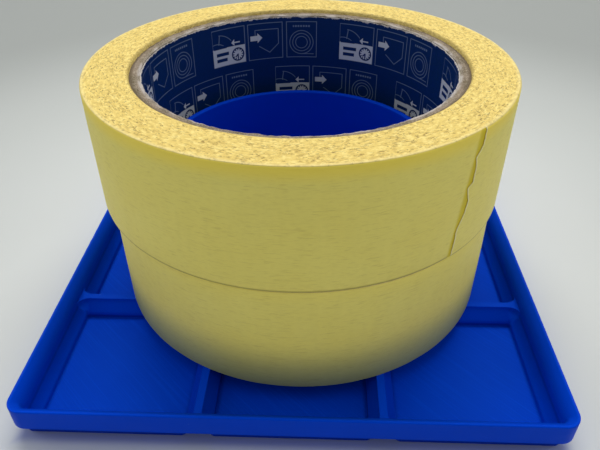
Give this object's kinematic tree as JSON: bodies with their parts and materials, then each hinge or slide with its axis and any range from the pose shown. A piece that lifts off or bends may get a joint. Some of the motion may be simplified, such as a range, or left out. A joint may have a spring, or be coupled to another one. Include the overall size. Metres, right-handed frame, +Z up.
{
  "type": "tape dispenser tray",
  "caption": "Square divided tray with a round hub in its middle, round which a stack of masking tape rolls stands and turns.",
  "frame": {"origin": "middle of the tray's underside, on the surface it stands on", "axes": "+Z up along the hub, the front of the tray faces -Y, +X to the right"},
  "size_m": [0.1254, 0.1254, 0.066],
  "materials": {
    "tray_plastic": "blue printed plastic with fine layer lines",
    "hub_plastic": "blue printed plastic with fine layer lines",
    "core_card": "wound grey-brown card with a rough cut end",
    "printed_liner": "navy printed paper with pale outlined symbols and a torn edge",
    "masking_tape": "pale yellow crepe paper, fine wrinkles, speckled wound edges"
  },
  "bodies": {
    "base": {"tray": "tray_plastic"},
    "hub": {"hub": "hub_plastic"},
    "lower_roll": {"lower_core": "core_card", "lower_liner": "printed_liner", "lower_tape": "masking_tape"},
    "lower_end": {"lower_tape_end": "masking_tape"},
    "upper_roll": {"upper_core": "core_card", "upper_liner": "printed_liner", "upper_tape": "masking_tape"},
    "upper_end": {"upper_tape_end": "masking_tape"}
  },
  "joints": [
    {"name": "hub_lift", "type": "slide", "parent": "base", "child": "hub", "axis": [0, 0, 1], "range_m": [0, 0.065]},
    {"name": "lower_roll_spin", "type": "hinge", "parent": "base", "child": "lower_roll", "pos_m": [0.00094, 0, 0.021], "axis": [0, 0, 1], "continuous": true},
    {"name": "lower_end_peel", "type": "hinge", "parent": "lower_roll", "child": "lower_end", "pos_m": [-0.04443, 0.02159, 0.021], "axis": [0, 0, 1], "range_deg": [0, 20]},
    {"name": "upper_roll_spin", "type": "hinge", "parent": "base", "child": "upper_roll", "pos_m": [0.00032, 0.00178, 0.051], "axis": [0, 0, 1], "continuous": true},
    {"name": "upper_end_peel", "type": "hinge", "parent": "upper_roll", "child": "upper_end", "pos_m": [0.05013, -0.01399, 0.051], "axis": [0, 0, 1], "range_deg": [0, 60]}
  ]
}
